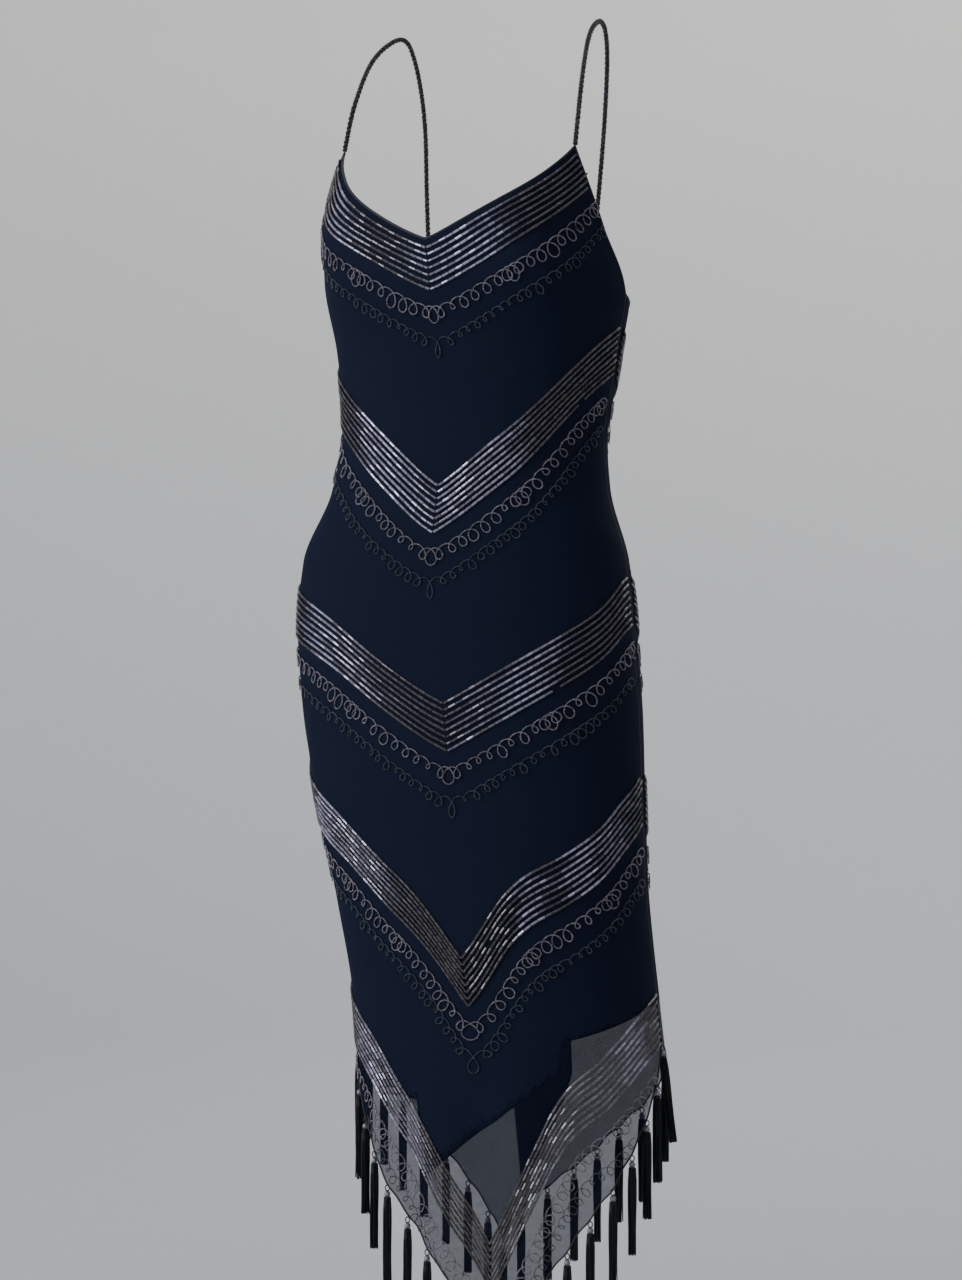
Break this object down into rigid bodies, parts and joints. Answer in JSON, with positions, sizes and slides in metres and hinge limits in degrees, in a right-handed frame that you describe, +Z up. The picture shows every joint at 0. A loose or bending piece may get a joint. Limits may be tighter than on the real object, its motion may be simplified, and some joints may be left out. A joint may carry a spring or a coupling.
{
  "type": "fringe dress",
  "caption": "Sleeveless V-neck slip dress with thin beaded straps, chevron bead bands and a pointed sheer hem of hanging tassels, in its worn form.",
  "frame": {"origin": "midway between the tops of the two shoulder straps, where the wearer's shoulders hold the dress", "axes": "+Z up along the dress, the front faces -Y, +X to the wearer's left"},
  "size_m": [0.3864, 0.2436, 1.3521],
  "materials": {
    "georgette": "sheer crepe georgette, matt",
    "lining": "opaque plain weave, matt",
    "beads": "opaque black glass beads with a gunmetal lustre",
    "fringe": "black silk floss"
  },
  "bodies": {
    "root": {"back_lining": "lining", "back_panel": "georgette", "front_lining": "lining", "front_panel": "georgette", "strap_left": "beads", "strap_right": "beads", "tassel_back_01": "fringe", "tassel_back_02": "fringe", "tassel_back_03": "fringe", "tassel_back_04": "fringe", "tassel_back_05": "fringe", "tassel_back_06": "fringe", "tassel_back_07": "fringe", "tassel_back_08": "fringe", "tassel_back_09": "fringe", "tassel_back_10": "fringe", "tassel_back_11": "fringe", "tassel_back_12": "fringe", "tassel_back_13": "fringe", "tassel_back_14": "fringe", "tassel_back_15": "fringe", "tassel_back_16": "fringe", "tassel_front_01": "fringe", "tassel_front_02": "fringe", "tassel_front_03": "fringe", "tassel_front_04": "fringe", "tassel_front_05": "fringe", "tassel_front_06": "fringe", "tassel_front_07": "fringe", "tassel_front_08": "fringe", "tassel_front_09": "fringe", "tassel_front_10": "fringe", "tassel_front_11": "fringe", "tassel_front_12": "fringe", "tassel_front_13": "fringe", "tassel_front_14": "fringe", "tassel_front_15": "fringe", "tassel_front_16": "fringe", "tassel_front_17": "fringe", "tassel_front_18": "fringe", "tassel_side_left": "fringe", "tassel_side_right": "fringe"}
  },
  "joints": []
}
